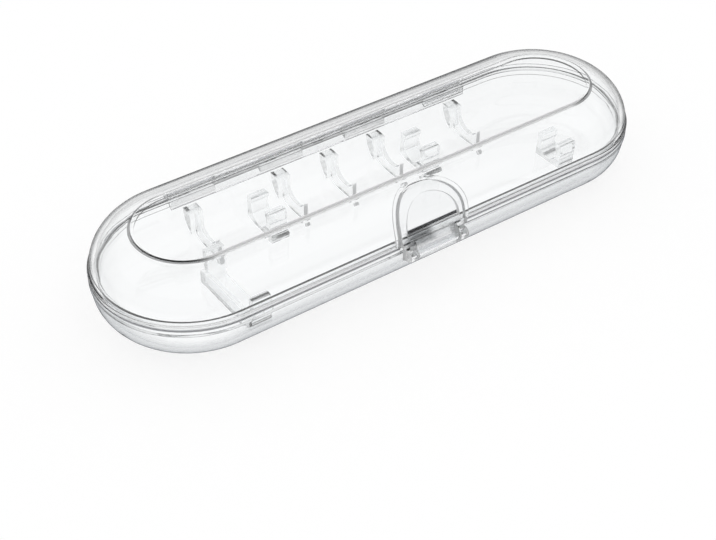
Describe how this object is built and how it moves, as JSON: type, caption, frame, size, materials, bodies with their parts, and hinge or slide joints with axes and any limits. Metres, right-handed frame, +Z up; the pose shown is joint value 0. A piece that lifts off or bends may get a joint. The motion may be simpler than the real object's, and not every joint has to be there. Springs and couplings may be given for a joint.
{
  "type": "toothbrush travel case",
  "caption": "Clear hinged travel case with round ends, a raised lid panel, a swing-out clasp and holders for a powered toothbrush.",
  "frame": {"origin": "on the table, under the middle of the closed case", "axes": "+X along the case towards its neck clip, -Y towards the clasp, +Y towards the hinge, +Z up"},
  "size_m": [0.215, 0.0763, 0.0331],
  "materials": {
    "clear_shell": "clear, polished",
    "clear_clasp": "clear, polished",
    "clear_holder": "clear, moulded",
    "smoky_hinge": "clear with a faint smoky tint, moulded",
    "pin_steel": "drawn wire"
  },
  "bodies": {
    "base": {"base_shell": "clear_shell", "base_hinge_leaf": "smoky_hinge", "hinge_pin": "pin_steel", "clasp_pin": "clear_clasp", "end_cradle": "clear_holder", "neck_clip": "clear_holder", "spare_clip_left": "clear_holder", "spare_clip_right": "clear_holder", "divider_1": "clear_holder", "divider_2": "clear_holder", "divider_3": "clear_holder", "divider_4": "clear_holder", "divider_5": "clear_holder"},
    "lid": {"lid_shell": "clear_shell", "lid_hinge_leaf": "smoky_hinge"},
    "clasp": {"clasp_flap": "clear_clasp"}
  },
  "joints": [
    {"name": "lid_hinge", "type": "hinge", "parent": "base", "child": "lid", "pos_m": [0, 0.03595, 0.01725], "axis": [-1, 0, 0], "range_deg": [0, 180]},
    {"name": "clasp_hinge", "type": "hinge", "parent": "base", "child": "clasp", "pos_m": [0, -0.0359, 0.0146], "axis": [1, 0, 0], "range_deg": [0, 120]}
  ]
}
